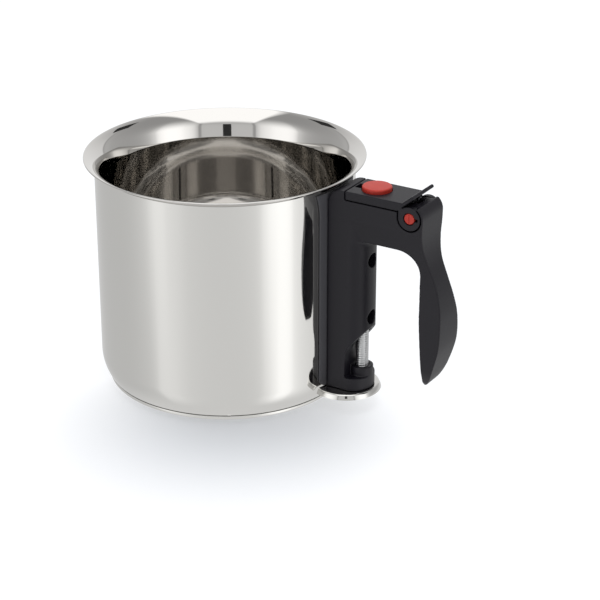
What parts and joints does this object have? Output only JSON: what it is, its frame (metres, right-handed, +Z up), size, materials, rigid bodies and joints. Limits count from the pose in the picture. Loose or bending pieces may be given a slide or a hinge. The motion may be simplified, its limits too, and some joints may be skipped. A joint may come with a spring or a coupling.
{
  "type": "melting pot",
  "caption": "Double-walled polished steel melting pot with a flared lip and a black side handle that holds a hinged filler flap, a red vent button and a clamped flame guard.",
  "frame": {"origin": "on the pot's axis, on the surface that the base stands on", "axes": "+Z up along the pot's axis, +X from the axis through the middle of the handle, +Y across the handle"},
  "size_m": [0.2431, 0.173, 0.1473],
  "materials": {
    "polished_steel": "mirror-polished stainless steel",
    "zinc_plated_steel": "bright zinc plate",
    "spring_steel": "drawn wire",
    "aluminium": "plain",
    "brass": "turned",
    "black_moulding": "satin moulded",
    "red_moulding": "smooth moulded",
    "grey_silicone": "matt"
  },
  "bodies": {
    "pot": {"outer_shell": "polished_steel", "inner_bowl": "polished_steel", "base_core": "aluminium", "base_cap": "polished_steel", "handle_spacer": "black_moulding", "handle_bracket": "zinc_plated_steel", "upper_handle_screw": "zinc_plated_steel", "lower_handle_screw": "zinc_plated_steel", "handle_body": "black_moulding", "flame_guard": "polished_steel", "clamp_stud": "zinc_plated_steel", "stud_insert": "brass", "guard_washer": "zinc_plated_steel", "guard_nut": "zinc_plated_steel", "filler_nozzle": "polished_steel", "nozzle_gasket": "grey_silicone", "filler_neck": "polished_steel", "hinge_pin": "red_moulding", "lid_spring": "spring_steel"},
    "lid": {"lid_flap": "black_moulding", "neck_seal": "grey_silicone", "whistle_plate": "polished_steel", "button_spring": "spring_steel"},
    "button": {"vent_button": "red_moulding", "button_clip": "spring_steel"}
  },
  "joints": [
    {"name": "lid_hinge", "type": "hinge", "parent": "pot", "child": "lid", "pos_m": [0.135, 0, 0.1333], "axis": [0, 1, 0], "range_deg": [0, 40], "stiffness_Nm_per_rad": 0.02, "springref_deg": -20.05, "deforming": ["lid_spring"]},
    {"name": "button_press", "type": "slide", "parent": "lid", "child": "button", "axis": [0, 0, -1], "range_m": [0, 0.0016], "stiffness_N_per_m": 400, "springref_m": -0.002, "deforming": ["button_spring"]}
  ]
}
